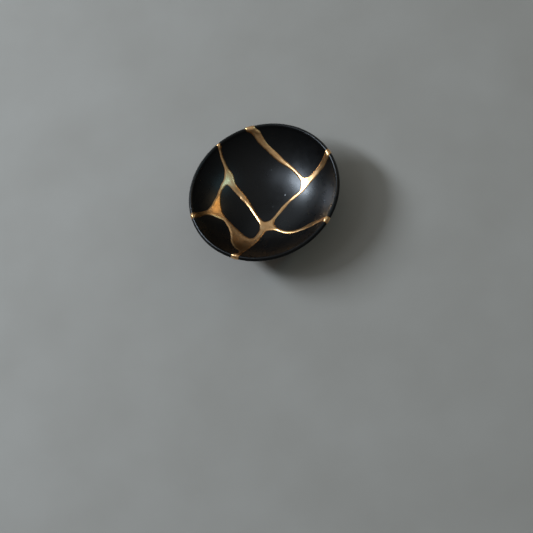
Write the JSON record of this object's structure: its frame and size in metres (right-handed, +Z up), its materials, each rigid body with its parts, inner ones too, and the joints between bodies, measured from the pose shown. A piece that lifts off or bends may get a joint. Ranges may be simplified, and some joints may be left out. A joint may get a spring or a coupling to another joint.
{
  "type": "kintsugi ring dish",
  "caption": "Small round black-glazed ceramic dish on a foot ring, broken into shards and mended with raised gold lacquer seams that run over the lip.",
  "frame": {"origin": "on the dish's axis, at the plane that the foot ring stands on", "axes": "+Z up along the dish's axis; seen from above, +X and +Y are right and up as in the picture"},
  "size_m": [0.1, 0.1, 0.0307],
  "materials": {
    "black_glaze": "satin",
    "gold_lacquer": "satin"
  },
  "bodies": {
    "root": {"shard_left": "black_glaze", "shard_centre": "black_glaze", "shard_upper_right": "black_glaze", "shard_right": "black_glaze", "shard_bottom": "black_glaze", "shard_lower_left": "black_glaze", "shard_inner": "black_glaze", "gold_seams": "gold_lacquer"}
  },
  "joints": []
}
